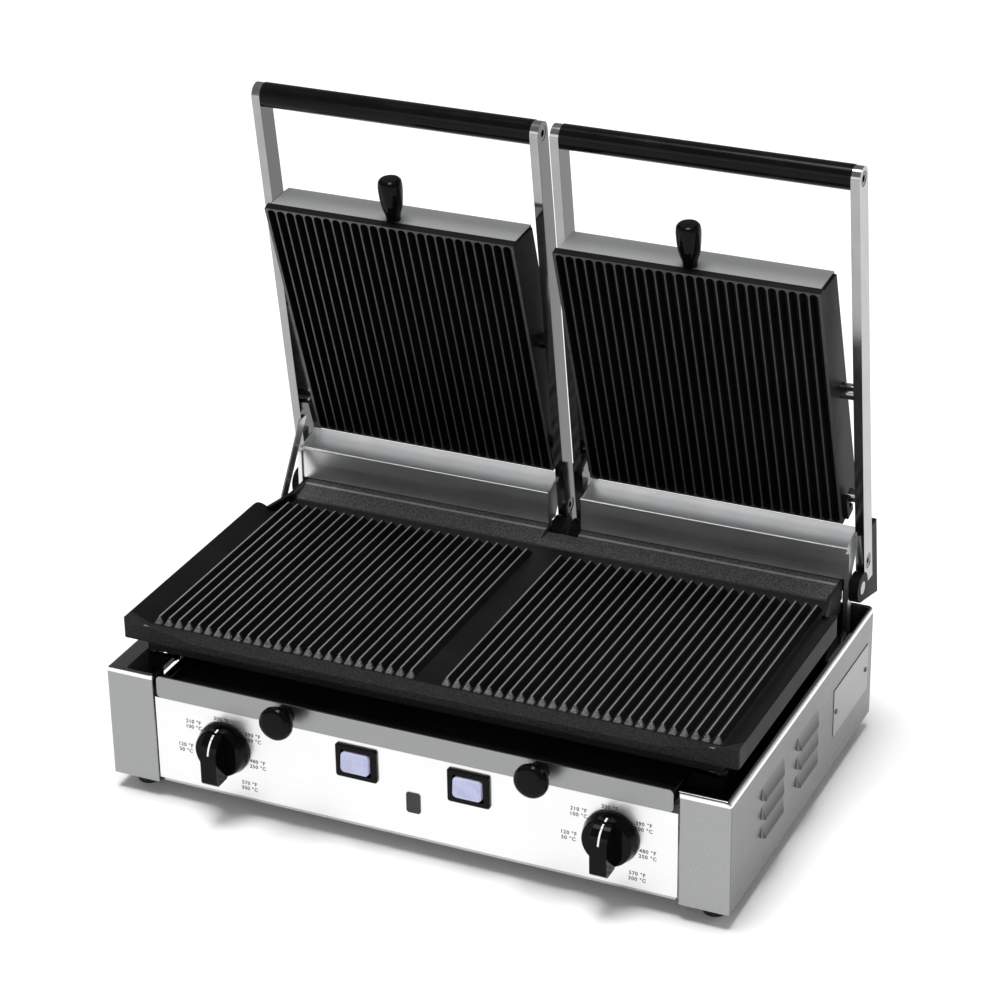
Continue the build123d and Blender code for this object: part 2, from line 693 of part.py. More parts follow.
def side_stay():
    """Slanted flat bar beside the left arm, standing on the side wall's top flange."""
    low_y, high_y, width_y = front_y + 271.0, front_y + 333.0, 13.0
    low_z, high_z = top_z + 0.1, base_z + 196.0
    x0, x1 = -half_width + 16.2, -half_width + 17.6
    bar = prism_x([(low_y, low_z), (low_y + width_y, low_z), (high_y + width_y, high_z), (high_y, high_z)],
                  x0, x1)
    foot = block(x0 - 12, x1, low_y, low_y + width_y, low_z, low_z + x1 - x0)
    return bar + foot


# ---------------------------------------------------------------- arms and handle
def arm_body(x0):
    """Hollow rectangular arm with a round top end, in place."""
    x1 = x0 + arm_thickness
    half = arm_depth / 2
    bar = block(x0, x1, -half, half, -8, arm_length) + rod_x(0, arm_length, half, x0, x1)
    bar -= block(x0 + arm_wall, x1 - arm_wall, -half + arm_wall, half - arm_wall, -9, arm_length - 20)
    bar = arm_frame() * bar
    bar -= block(x0 - 1, x1 + 1, arm_foot_y - 60, arm_foot_y + 60, arm_foot_z - 40, arm_foot_z)
    return bar - rod_x(hinge_y, hinge_z, hub_radius + 0.5, x0 - 1, x1 + 1)


def handle_screw(outward, x_face):
    """Socket screw into the handle rod; outward is +1 when its head faces +X."""
    head = rod_x(0, arm_length, socket_head_radius, x_face - outward * 4.6, x_face - outward * 0.3)
    head += rod_x(0, arm_length, socket_screw_radius, x_face - outward * 4.6, x_face - outward * 24)
    socket = extrude(RegularPolygon(3.4, 6), amount=3.0, both=True)
    head -= Pos(x_face, 0, arm_length) * Rot(0, 90, 0) * socket
    return arm_frame() * head


def handle_screw_hole(outward, x_face):
    """Counterbored hole for a handle screw."""
    hole = rod_x(0, arm_length, socket_head_radius + 0.2, x_face - outward * 4.6, x_face + outward)
    hole += rod_x(0, arm_length, socket_screw_radius + 0.1, x_face + outward, x_face - outward * 25)
    return arm_frame() * hole


def lever_screw_shape(outward, x_face, gap):
    """Countersunk screw through the arm's foot, or its hole when a gap is given."""
    recess = 0.0 if gap else lever_screw_recess
    near, far = x_face + outward * (gap - recess), x_face - outward * (3 + gap)
    cone = Solid.make_cone(socket_screw_radius + gap, lever_screw_radius + gap - recess, abs(far - near),
                           Plane.XY)
    screw = Pos(far, 0, lever_screw_height) * Rot(0, 90 * outward, 0) * cone
    screw += rod_x(0, lever_screw_height, socket_screw_radius + gap, far,
                   x_face - outward * (arm_thickness + gap))
    if not gap:
        socket = extrude(RegularPolygon(2.9, 6), amount=2.4, both=True)
        screw -= Pos(x_face, 0, lever_screw_height) * Rot(0, 90, 0) * socket
    return arm_frame() * screw


def arm(x0, outward):
    """Arm with its holes for the handle screw, the lever screw and the pivot pin."""
    x_face = x0 + arm_thickness if outward > 0 else x0
    bar = arm_body(x0) - handle_screw_hole(outward, x_face) - lever_screw_shape(outward, x_face, 0.1)
    pin_hole = rod_x(0, pivot_height, 5.0, x0 - 1 if outward > 0 else x0 + 3,
                     x0 + arm_thickness - 3 if outward > 0 else x0 + arm_thickness + 1)
    stop_hole = rod_x(stop_offset, stop_height, 3.0, x0 - 1 if outward > 0 else x0 + 3,
                      x0 + arm_thickness - 3 if outward > 0 else x0 + arm_thickness + 1)
    return bar - arm_frame() * pin_hole - arm_frame() * stop_hole


def lever(x0, hub_x0, hub_x1, outward):
    """Hooked hinge lever: hub, bar under and behind the arm's foot, and a tongue inside the arm."""
    half = arm_depth / 2
    frame = arm_frame()
    gap_z = arm_foot_z - 0.4
    outline = [(hinge_y, hinge_z - hub_radius)]
    for y, z in ((half + 13, -28), (half + 13, 50), (half + 0.4, 50), (half + 0.4, -2)):
        point = (frame * Location((0, y, z))).position
        outline.append((point.Y, min(point.Z, gap_z) if z == -2 else point.Z))
    outline += [(hinge_y + 4, gap_z), (hinge_y, hinge_z)]
    hook = prism_x(outline, x0, x0 + arm_thickness)
    tongue = block(x0 + arm_wall + 0.15, x0 + arm_thickness - arm_wall - 0.15, -half + arm_wall + 0.2,
                   half - arm_wall - 0.2, -6, tongue_length)
    body = fuse([hook, rod_x(hinge_y, hinge_z, hub_radius, hub_x0, hub_x1), frame * tongue])
    x_face = x0 + arm_thickness if outward > 0 else x0
    body -= rod_x(hinge_y, hinge_z, hinge_shaft_radius + running_gap, hub_x0 - 1, hub_x1 + 1)
    return body - lever_screw_shape(outward, x_face, 0.1)


def hinge_levers():
    """The right grill's two levers."""
    outer = lever(outer_arm_x, outer_arm_x - 0.9, outer_arm_x + arm_thickness, 1)
    inner = lever(inner_arm_x, inner_arm_x - 2.3, inner_arm_x + arm_thickness + 1.2, -1)
    return Compound(children=[outer, inner])


def handle_grip():
    """Plastic tube between the two arms."""
    x0, x1 = inner_arm_x + arm_thickness + 0.1, outer_arm_x - 0.1
    tube = rod_x(0, arm_length, grip_radius, x0, x1) - rod_x(0, arm_length, grip_bore, x0 - 1, x1 + 1)
    return arm_frame() * tube


def handle_rod():
    """Steel rod inside the grip, tapped at both ends."""
    x0, x1 = inner_arm_x + arm_thickness, outer_arm_x
    rod = rod_x(0, arm_length, rod_radius, x0, x1)
    rod -= rod_x(0, arm_length, socket_screw_radius + 0.1, x0 - 1, x0 + 20)
    rod -= rod_x(0, arm_length, socket_screw_radius + 0.1, x1 - 20, x1 + 1)
    return arm_frame() * rod


def head_screws():
    """Handle screws and lever screws of the right grill."""
    outer_face, inner_face = outer_arm_x + arm_thickness, inner_arm_x
    return Compound(children=[handle_screw(1, outer_face), handle_screw(-1, inner_face),
                              lever_screw_shape(1, outer_face, 0.0),
                              lever_screw_shape(-1, inner_face, 0.0)])


def pivot_pins():
    """Shouldered pins from the arms into the upper plate."""
    inner_face = inner_arm_x + arm_thickness
    inner = rod_x(0, pivot_height, pivot_radius, inner_face + 0.1, plate_x0 + plate_wall)
    inner += rod_x(0, pivot_height, 4.9, inner_face - 4.8, inner_face + 0.2)
    outer = rod_x(0, pivot_height, pivot_radius, plate_x1 - plate_wall, outer_arm_x - 0.1)
    outer += rod_x(0, pivot_height, 4.9, outer_arm_x - 0.2, outer_arm_x + 4.8)
    return Compound(children=[arm_frame() * inner, arm_frame() * outer])


def tilt_stops():
    """Studs on the arms that an ear of the upper plate rests on."""
    inner_face = inner_arm_x + arm_thickness
    inner = rod_x(stop_offset, stop_height, 6.0, inner_face + 0.1, inner_face + 4.2)
    inner += rod_x(stop_offset, stop_height, 2.9, inner_face - 4.8, inner_face + 0.2)
    outer = rod_x(stop_offset, stop_height, 6.0, outer_arm_x - 10.0, outer_arm_x - 0.1)
    outer += rod_x(stop_offset, stop_height, 2.9, outer_arm_x - 0.2, outer_arm_x + 4.8)
    return Compound(children=[arm_frame() * inner, arm_frame() * outer])


# ---------------------------------------------------------------- upper plates
def groove(x):
    """Cutter for one groove of an upper plate, with rounded run-outs at both ends."""
    mouth, root = (upper_pitch - rib_crest) / 2, (upper_pitch - rib_root) / 2 + 0.2
    start, end = plate_border + mouth, plate_length - plate_border - mouth
    cutter = prism_y([(x - mouth, -0.01), (x + mouth, -0.01),
                      (x + root, rib_height), (x - root, rib_height)], start, end)
    run_out = Solid.make_cone(mouth, root, rib_height + 0.01, Plane.XY)
    for y in (start, end):
        cutter += Pos(x, y, -0.01) * run_out
    return cutter


def plate_wall_outline():
    """Side wall of an upper casting, kept inside the cover's sheet."""
    return [(2.2, flange_thickness - 0.5), (2.2, flange_thickness), (9.8, head_height - 1.5),
            (plate_length - 6.2, head_height - 1.5), (plate_length - 2.4, flange_thickness),
            (plate_length - 2.4, flange_thickness - 0.5)]


def upper_plate():
    """Iron casting with ribs, a raised back, two side walls and two stop ears."""
    flange = block(plate_x0, plate_x1, 0, plate_length, 0, flange_thickness)
    first = (plate_x0 + plate_x1) / 2 - upper_pitch * (upper_grooves - 1) / 2
    flange = flange.cut(*[groove(first + index * upper_pitch) for index in range(upper_grooves)])
    back = block(plate_x0, plate_x1, 6, plate_length - 6, rib_height + 0.2, plate_thickness)
    wall = prism_x(plate_wall_outline(), plate_x0, plate_x0 + plate_wall)
    walls = [wall, Pos(plate_x1 - plate_wall - plate_x0, 0, 0) * wall]
    ear_outline = [(230, 0.6), (254, 0.6), (254, 14), (247, 14), (247, 6.1), (230, 6.1)]
    ears = [prism_x(ear_outline, plate_x1 - 1, plate_x1 + 5.2),
            prism_x(ear_outline, plate_x0 - 0.9, plate_x0 + 1)]
    casting = flange.fuse(back, *walls, *ears)
    casting -= rod_x(plate_pivot_y, plate_pivot_z, pivot_radius + running_gap, plate_x0 - 1, plate_x1 + 1)
    return plate_frame() * casting


def cover_outline(inset):
    """Cover's section; the inset one is its inner surface."""
    low, top = flange_thickness + 0.1 - inset / 10, head_height - inset
    lean_front = (cover_setback - cover_front) / (head_height - flange_thickness)
    lean_rear = (cover_rear_setback - cover_front) / (head_height - flange_thickness)
    rise = top - low
    return [(cover_front + inset, low), (cover_front + inset + lean_front * rise, top),
            (plate_length - cover_front - inset - lean_rear * rise, top),
            (plate_length - cover_front - inset, low)]


def upper_cover():
    """Stainless cover: a folded channel with sloped front and rear over the casting."""
    x0, x1 = plate_x0 + 1.5, plate_x1 - 2.5
    shell = prism_x(cover_outline(0), x0, x1) - prism_x(cover_outline(thin_sheet), x0 - 1, x1 + 1)
    return plate_frame() * shell


def upper_heater():
    """Heating element on the back of the upper casting."""
    element = heater(plate_x0 + 30, plate_x1 - 30, 40, 222, plate_thickness + 3.5)
    return plate_frame() * element


def upper_insulation():
    """Heat-proof pad between the element and the cover."""
    pad = block(plate_x0 + 12, plate_x1 - 12, 14, plate_length - 16, plate_thickness + 8, head_height - 3)
    # Notches at both ends leave room for the pivot pins.
    for x0 in (plate_x0, plate_x1 - 20):
        pad -= block(x0, x0 + 20, plate_pivot_y - 14, plate_pivot_y + 14, plate_thickness, head_height)
    return plate_frame() * pad


def cover_knob():
    """Tapered knob on the cover's sloped front, its foot cut to the slope."""
    outline = [(0, 0), (6.6, 0), (6.4, 4), (7.2, 8), (8.8, 13), (9.8, 18), (10.4, 24), (10.8, 30),
               (10.9, 34), (10.6, 37.5), (10.0, 39.4), (8.8, 40.7), (7.2, 41.3), (0, 41.6)]
    loop = Polyline([(radius, 0, height) for radius, height in outline], close=True)
    knob = revolve(make_face(loop), axis=Axis.Z)
    centre_x = (plate_x0 + plate_x1) / 2
    placed = Pos(centre_x, cover_front + 3.5, cover_knob_depth) * Rot(90 - cover_knob_lean, 0, 0) * knob
    solid_cover = prism_x(cover_outline(0), plate_x0, plate_x1)
    flange = block(plate_x0, plate_x1, 0, plate_length, 0, flange_thickness + 0.1)
    return plate_frame() * (placed - solid_cover - flange)


# ---------------------------------------------------------------- export
def handed_parts():
    """Pieces that exist once on the right grill and mirrored on the left."""
    return {
        "outer_arm": arm(outer_arm_x, 1),
        "inner_arm": arm(inner_arm_x, -1),
        "handle_grip": handle_grip(),
        "handle_rod": handle_rod(),
        "head_screws": head_screws(),
        "hinge_levers": hinge_levers(),
        "pivot_pins": pivot_pins(),
        "tilt_stops": tilt_stops(),
        "upper_plate": upper_plate(),
        "upper_cover": upper_cover(),
        "upper_heater": upper_heater(),
        "upper_insulation": upper_insulation(),
        "cover_knob": cover_knob(),
        "splash_guard": splash_guard(),
    }


def single_parts():
    """Pieces of the cabinet and its controls."""
    right_side = side_panel()
    left_side = mirror(right_side, about=Plane.YZ)
    parts = {
        "base_pan": base_pan(),
        "side_panel_left": left_side,
        "side_panel_right": right_side,
        "front_panel": front_panel(),
        "rear_panel": rear_panel(),
        "cable_gland": cable_gland(),
        "feet": feet(),
        "badge": badge(),
        "rating_plate": rating_plate(),
        "rating_plate_rivets": rating_plate_rivets(),
        "terminal_block": terminal_block(),
        "thermostats": thermostats(),
        "switch_housings": switch_housings(),
        "drip_tray": drip_tray(),
        "tray_front": tray_front(),
        "tray_knobs": tray_knobs(),
        "tray_runners": tray_runners(),
        "lower_griddle": lower_griddle(),
        "lower_heaters": lower_heaters(),
        "heater_clamps": heater_clamps(),
        "griddle_studs": griddle_studs(),
        "hinge_brackets": hinge_brackets(),
        "hinge_shafts": hinge_shafts(),
        "counterbalance_springs": counterbalance_springs(),
        "side_stay": side_stay(),
    }
    for side, x in zip(("left", "right"), thermostat_positions()):
        parts[side + "_thermostat_knob"] = thermostat_knob(x)
        parts[side + "_thermostat_shaft"] = thermostat_shaft(x)
    for side, x in zip(("left", "right"), switch_positions()):
        parts[side + "_rocker"] = rocker(x)
    return parts


def main():
    """Write every sub-part to its own file."""
    os.makedirs("parts", exist_ok=True)
    parts = single_parts()
    for name, shape in handed_parts().items():
        parts["right_" + name] = shape
        parts["left_" + name] = mirror(shape, about=Plane.YZ)
    for name, shape in parts.items():
        export_step(shape, os.path.join("parts", name + ".step"))
    print(len(parts), "parts written")


main()
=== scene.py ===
import json
import math

import bpy
from mathutils import Matrix, Vector
from mathutils.bvhtree import BVHTree


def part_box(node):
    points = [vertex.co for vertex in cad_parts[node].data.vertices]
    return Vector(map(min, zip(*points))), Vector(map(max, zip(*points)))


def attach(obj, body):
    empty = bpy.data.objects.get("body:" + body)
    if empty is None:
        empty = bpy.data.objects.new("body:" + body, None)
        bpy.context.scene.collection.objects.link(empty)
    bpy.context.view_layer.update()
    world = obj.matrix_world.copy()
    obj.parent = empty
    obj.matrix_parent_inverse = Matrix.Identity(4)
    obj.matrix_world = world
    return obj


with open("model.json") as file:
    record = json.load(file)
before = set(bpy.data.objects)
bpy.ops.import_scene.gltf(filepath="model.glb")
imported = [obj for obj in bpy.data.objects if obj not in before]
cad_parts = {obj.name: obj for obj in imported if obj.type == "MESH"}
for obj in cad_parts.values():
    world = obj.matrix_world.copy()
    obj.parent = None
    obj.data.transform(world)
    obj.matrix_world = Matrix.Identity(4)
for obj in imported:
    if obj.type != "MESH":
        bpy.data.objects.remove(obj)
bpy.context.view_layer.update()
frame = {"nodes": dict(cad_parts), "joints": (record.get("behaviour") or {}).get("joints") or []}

# Looks, light and camera of the double contact grill. Lengths are in metres, angles in radians.
NODES = frame["nodes"]
MM = 0.001

# ---------------------------------------------------------------- camera, lens in millimetres
CAMERA_PLACE = Vector((1.0141, -2.1845, 1.4533))
CAMERA_YAW = 0.4325
CAMERA_PITCH = 0.4632
CAMERA_ROLL = -0.0163
CAMERA_LENS = 114.19
SENSOR_WIDTH = 36.0
VIEW_REACH = 200.0

# ---------------------------------------------------------------- light and floor
WORLD_LEVEL = 0.32
KEY_LEVEL = 2.9
KEY_SPREAD = 30.0
KEY_DIRECTION = Vector((0.07, 0.04, -1.0))
FILL_LEVEL = 7.0
FILL_PLACE = (-0.9, -2.6, 1.2)
FILL_SIZE = 1.2
BACK_LEVEL = 4.0
BACK_PLACE = (1.6, 1.6, 1.2)
BACK_SIZE = 1.0
LIGHT_AIM = (0, 0, 0.2)
FLOOR_LEVEL = 0.96
FLOOR_REACH = 90.0

# ---------------------------------------------------------------- print on the front panel
PRINT_GAP = 0.06 * MM
PRINT_THICKNESS = 0.03 * MM
LETTER_WEIGHT = 0.10 * MM
LETTER_SIZE = 4.8 * MM
LETTER_SPACING = 1.15
LINE_PITCH = 5.2 * MM
# Place of each dial figure from the spindle, in millimetres, with its two temperatures.
DIAL_FIGURES = [(-38.0, -8.6, "120", "50"), (-29.0, 15.8, "210", "100"), (-1.7, 24.2, "300", "150"),
                (28.0, 15.3, "390", "200"), (31.5, -10.0, "480", "250"), (22.4, -33.1, "570", "300")]
POINTER_HALF_WIDTH = 0.8 * MM
POINTER_LOW = 7.0 * MM
POINTER_HIGH = 22.5 * MM
POINTER_STEPS = 24


# ---------------------------------------------------------------- node helpers
class Nodes:
    """A material and short ways to add nodes to it. Noise scales count features per metre."""

    def __init__(self, name):
        self.material = bpy.data.materials.new(name)
        self.material.use_nodes = True
        self.tree = self.material.node_tree
        self.shader = self.tree.nodes["Principled BSDF"]
        coordinates = self.tree.nodes.new("ShaderNodeTexCoord")
        self.place = coordinates.outputs["Object"]

    def node(self, kind, inputs=None, **settings):
        """New node with its settings and its inputs, which are values or sockets."""
        made = self.tree.nodes.new(kind)
        for key, value in settings.items():
            setattr(made, key, value)
        for key, value in (inputs or {}).items():
            self.put(made.inputs[key], value)
        return made

    def put(self, socket, value):
        """Link a socket to an input, or set the input's value."""
        if isinstance(value, bpy.types.NodeSocket):
            self.tree.links.new(value, socket)
        else:
            socket.default_value = value

    def stretched(self, scale):
        """Object coordinates scaled per axis, for drawn or brushed patterns."""
        return self.node("ShaderNodeMapping", {"Vector": self.place, "Scale": scale}).outputs["Vector"]

    def noise(self, scale, detail=3.0, vector=None, roughness=0.5):
        """Noise value, mostly between 0.3 and 0.7."""
        made = self.node("ShaderNodeTexNoise", {"Vector": vector or self.place, "Scale": scale,
                                                "Detail": detail, "Roughness": roughness})
        return made.outputs["Fac"]

    def spread(self, value, low, high, from_low=0.3, from_high=0.7):
        """Value stretched from noise's usual range to low...high."""
        made = self.node("ShaderNodeMapRange", {"Value": value, "From Min": from_low, "From Max": from_high,
                                                "To Min": low, "To Max": high})
        return made.outputs["Result"]

    def mix(self, factor, first, second):
        """Blend of two colours."""
        made = self.node("ShaderNodeMix", data_type="RGBA")
        self.put(made.inputs["Factor"], factor)
        self.put(made.inputs[6], first)
        self.put(made.inputs[7], second)
        return made.outputs[2]

    def bump(self, height, distance, strength=1.0, normal=None):
        """Surface normal tilted by a height pattern of the given depth."""
        inputs = {"Height": height, "Distance": distance, "Strength": strength}
        if normal is not None:
            inputs["Normal"] = normal
        return self.node("ShaderNodeBump", inputs).outputs["Normal"]

    def set(self, **values):
        """Put values on the shader's own sockets and hand back the material."""
        for key, value in values.items():
            self.put(self.shader.inputs[key.replace("_", " ")], value)
        return self.material


def grey(level, tint=0.0):
    """Neutral colour; a positive tint leans to blue."""
    return (level * (1 - tint), level, level * (1 + tint), 1.0)


# ---------------------------------------------------------------- materials
def masked(n, value, low, high):
    """Mask that rises from 0 to 1 while a value runs from low to high."""
    made = n.node("ShaderNodeMapRange", {"Value": value, "From Min": low, "From Max": high,
                                         "To Min": 0.0, "To Max": 1.0}, clamp=True)
    return made.outputs["Result"]


def along(n, direction, through):
    """Distance of a surface point along a direction, counted from a given point."""
    direction = Vector(direction).normalized()
    made = n.node("ShaderNodeVectorMath", {0: n.place, 1: direction}, operation="DOT_PRODUCT")
    return n.node("ShaderNodeMath", {0: made.outputs["Value"], 1: direction.dot(Vector(through))},
                  operation="SUBTRACT").outputs[0]


def times(n, first, second):
    """Product of two values."""
    return n.node("ShaderNodeMath", {0: first, 1: second}, operation="MULTIPLY").outputs[0]


def added(n, first, second):
    """Sum of two values."""
    return n.node("ShaderNodeMath", {0: first, 1: second}, operation="ADD").outputs[0]


def zone_mask(n, limits):
    """Mask of the surface inside every limit; a limit is ((direction, point), low, high)."""
    mask = 1.0
    for place, low, high in limits:
        mask = times(n, mask, masked(n, along(n, *place), low, high))
    return mask


def brushed_metal(name, level, roughness, direction, tint=0.01, contrast=0.03, zones=()):
    """Sheet metal with fine brush lines along one axis, faint cloudiness and handling marks.

    Each zone is (limits, level, lowest roughness, highest roughness) of an area with its own grey level and
    roughness; on the side walls the zone levels are painted light and painted shade.
    """
    n = Nodes(name)
    scale = [1500.0, 1500.0, 1500.0]
    scale["XYZ".index(direction)] = 7.0
    lines = n.noise(1.0, 3.0, n.stretched(scale), 0.55)
    cloud = n.noise(7.0, 3.0)
    smudge = n.noise(24.0, 5.0, roughness=0.7)
    colour = n.mix(n.spread(lines, 0.0, 1.0), grey(level - contrast, tint), grey(level + contrast, tint))
    colour = n.mix(n.spread(cloud, 0.0, 0.3), colour, grey(level * 0.92, tint))
    rough = added(n, n.spread(lines, roughness - 0.03, roughness + 0.04), n.spread(smudge, -0.015, 0.035))
    for limits, zone_level, smooth, coarse in zones:
        mask = zone_mask(n, limits)
        colour = n.mix(mask, colour, grey(zone_level, tint))
        rough = n.node("ShaderNodeMix", {0: mask, 2: rough, 3: n.spread(smudge, smooth, coarse)},
                       data_type="FLOAT").outputs[0]
    normal = n.bump(lines, 0.000012, 0.4)
    return n.set(Base_Color=colour, Metallic=1.0, Roughness=rough, Normal=normal)


def polished_metal(name, level, roughness=0.07, zones=()):
    """Polished steel with faint drawing lines along its length and small wipe marks.

    Each zone is (limits, level) of a darker area, used on the arms as painted shade.
    """
    n = Nodes(name)
    lines = n.noise(1.0, 3.0, n.stretched((700.0, 700.0, 9.0)))
    wipes = n.noise(38.0, 4.0, roughness=0.65)
    colour = n.mix(n.spread(wipes, 0.0, 1.0), grey(level - 0.03, 0.008), grey(level + 0.02, 0.008))
    for limits, zone_level in zones:
        colour = n.mix(zone_mask(n, limits), colour, grey(zone_level, 0.008))
    rough = n.spread(wipes, roughness - 0.02, roughness + 0.05)
    normal = n.bump(lines, 0.00001, 0.35)
    return n.set(Base_Color=colour, Metallic=1.0, Roughness=rough, Normal=normal)


def cast_iron(name, base, tips, zones=()):
    """Black seasoned iron with sandy grain, rib tips painted bright (partly wear, partly a painted
    highlight) and painted lighter zones.

    tips and each zone are (limits, grey level); base is the seasoned surface's level.
    """
    n = Nodes(name)
    grain = n.noise(1300.0, 3.0, roughness=0.65)
    sand = n.noise(620.0, 3.0, roughness=0.7)
    coarse = n.noise(420.0, 2.0)
    patches = n.noise(14.0, 4.0, roughness=0.6)
    colour = n.mix(n.spread(patches, 0.0, 1.0), grey(base * 0.7, 0.02), grey(base * 1.3, 0.03))
    # Lighter zones with sandy speckle; on the griddle the upstand and rib ends among them are painted light
    for limits, level in zones:
        speckled = n.mix(n.spread(sand, 0.0, 1.0, 0.40, 0.64),
                         grey(level * 0.55, 0.01), grey(level * 1.6, 0.01))
        colour = n.mix(zone_mask(n, limits), colour, speckled)
    # Rib tips painted lighter and metallic: partly worn bare iron, partly a painted highlight for the
    # crests' missing rounding
    limits, level = tips
    wear_and_highlight = times(n, zone_mask(n, limits), n.spread(n.noise(160.0, 4.0, roughness=0.7), 0.55, 1.0))
    colour = n.mix(wear_and_highlight, colour, grey(level, 0.01))
    rough = added(n, n.spread(patches, 0.42, 0.50), n.spread(grain, -0.05, 0.08))
    normal = n.bump(coarse, 0.00016, 0.45)
    normal = n.bump(grain, 0.00014, 0.8, normal)
    return n.set(Base_Color=colour, Metallic=times(n, wear_and_highlight, 0.9), Roughness=rough, Normal=normal,
                 Specular_IOR_Level=0.10)


def gloss_plastic(name, colour_low, colour_high, roughness, speck=0.00001):
    """Moulded plastic with faint flow variation and fine dust-scale unevenness."""
    n = Nodes(name)
    flow = n.noise(30.0, 3.0)
    fine = n.noise(900.0, 2.0)
    colour = n.mix(n.spread(flow, 0.0, 1.0), colour_low, colour_high)
    rough = n.spread(flow, roughness - 0.04, roughness + 0.06)
    normal = n.bump(fine, speck, 0.5)
    return n.set(Base_Color=colour, Roughness=rough, Normal=normal, Specular_IOR_Level=0.10)


def enamel(name, level, roughness):
    """Dark sprayed coat with orange-peel texture."""
    n = Nodes(name)
    peel = n.noise(260.0, 2.0)
    cloud = n.noise(18.0, 3.0)
    colour = n.mix(n.spread(cloud, 0.0, 1.0), grey(level * 0.7), grey(level * 1.4))
    rough = n.spread(cloud, roughness - 0.05, roughness + 0.08)
    return n.set(Base_Color=colour, Roughness=rough, Normal=n.bump(peel, 0.00006, 0.5),
                 Specular_IOR_Level=0.08)


def rubber(name):
    """Matte moulded rubber, a little dusty."""
    n = Nodes(name)
    dust = n.noise(55.0, 4.0, roughness=0.7)
    fine = n.noise(1200.0, 2.0)
    colour = n.mix(n.spread(dust, 0.0, 1.0, 0.45, 0.8), grey(0.012), grey(0.04))
    return n.set(Base_Color=colour, Roughness=n.spread(dust, 0.62, 0.82),
                 Normal=n.bump(fine, 0.00004, 0.6))


def fibre_pad(name):
    """Pressed mineral fibre board."""
    n = Nodes(name)
    fibres = n.noise(1.0, 5.0, n.stretched((250.0, 250.0, 900.0)), 0.7)
    colour = n.mix(n.spread(fibres, 0.0, 1.0), (0.62, 0.60, 0.54, 1), (0.84, 0.82, 0.76, 1))
    return n.set(Base_Color=colour, Roughness=0.9, Normal=n.bump(fibres, 0.0003, 0.8))


def scorched_steel(name):
    """Heating element sheath, blued and browned by heat."""
    n = Nodes(name)
    bands = n.noise(24.0, 4.0)
    fine = n.noise(800.0, 2.0)
    colour = n.mix(n.spread(bands, 0.0, 1.0), (0.10, 0.085, 0.07, 1), (0.24, 0.24, 0.27, 1))
    return n.set(Base_Color=colour, Metallic=0.9, Roughness=n.spread(bands, 0.4, 0.6),
                 Normal=n.bump(fine, 0.00003, 0.5))


def printed_ink(name, level):
    """Screen-printed ink with slightly uneven cover."""
    n = Nodes(name)
    cover = n.noise(1600.0, 3.0)
    colour = n.mix(n.spread(cover, 0.0, 1.0), grey(level), grey(level * 1.25 + 0.01))
    return n.set(Base_Color=colour, Roughness=n.spread(cover, 0.45, 0.6))


def switch_lens(name):
    """Frosted lilac switch lens."""
    n = Nodes(name)
    cloud = n.noise(90.0, 3.0)
    fine = n.noise(1400.0, 2.0)
    colour = n.mix(n.spread(cloud, 0.0, 1.0), (0.50, 0.50, 0.74, 1), (0.60, 0.61, 0.84, 1))
    return n.set(Base_Color=colour, Roughness=n.spread(cloud, 0.22, 0.34),
                 Normal=n.bump(fine, 0.00002, 0.5), Subsurface_Weight=0.15)


UP, BACK, FRONT, RIGHT, LEFT = (0, 0, 1), (0, 1, 0), (0, -1, 0), (1, 0, 0), (-1, 0, 0)
CENTRE = (0, 0, 0)

# Griddle zones, measured from the casting's own box. The rib tips stand 28.5 mm above its underside.
GRIDDLE_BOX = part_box("lower_griddle")
GRIDDLE_FRONT = (0, GRIDDLE_BOX[0][1], 0)
GRIDDLE_REAR = (0, GRIDDLE_BOX[1][1], 0)
RIB_TIPS = GRIDDLE_BOX[0][2] + 28.5 * MM
RIB_HEIGHT = 6.5 * MM
RIB_ROOTS = RIB_TIPS - RIB_HEIGHT
RIB_FIELD = [((RIGHT, CENTRE), 261.0 * MM, 260.0 * MM), ((LEFT, CENTRE), 261.0 * MM, 260.0 * MM)]
# Griddle rib tips painted bright: partly wear, partly a painted highlight where rounded crests would catch
# the light
GRIDDLE_TIPS = (RIB_FIELD + [((UP, (0, 0, RIB_TIPS)), -0.35 * MM, -0.10 * MM),
                             ((UP, (0, 0, RIB_TIPS)), 0.60 * MM, 0.30 * MM)], 0.42)
UPSTAND = ((BACK, GRIDDLE_REAR), -32.0 * MM, -28.0 * MM)
FRONT_LIP = ((FRONT, GRIDDLE_FRONT), -15.5 * MM, -14.5 * MM)
RIB_ENDS = ((FRONT, GRIDDLE_FRONT), -20.6 * MM, -19.4 * MM)
BEHIND_LIP = ((BACK, GRIDDLE_FRONT), 14.8 * MM, 15.2 * MM)
ABOVE_ROOTS = ((UP, (0, 0, RIB_ROOTS)), 0.3 * MM, 1.2 * MM)
# Painted light: the upstand and the rib ends' front slopes are painted lighter as lit faces; the front lip
# is painted a little lighter
GRIDDLE_ZONES = [(RIB_FIELD + [UPSTAND], 0.085), ([FRONT_LIP], 0.018),
                 (RIB_FIELD + [RIB_ENDS, BEHIND_LIP, ABOVE_ROOTS], 0.13)]

# Rib tips of the upper plates lie a fixed distance below the plates' pivot axis
PLATE_PIVOT = next(joint["pos_m"] for joint in frame["joints"] if joint["name"] == "right_plate_pivot")
PLATE_TURN = math.radians(-71.7)
RIBS_FACE = (0, math.sin(PLATE_TURN), -math.cos(PLATE_TURN))
# Upper plates' rib tips painted lighter: partly wear, partly a painted highlight where rounded crests would
# catch the light
PLATE_TIPS = ([((RIBS_FACE, PLATE_PIVOT), 26.65 * MM, 26.90 * MM)], 0.14)

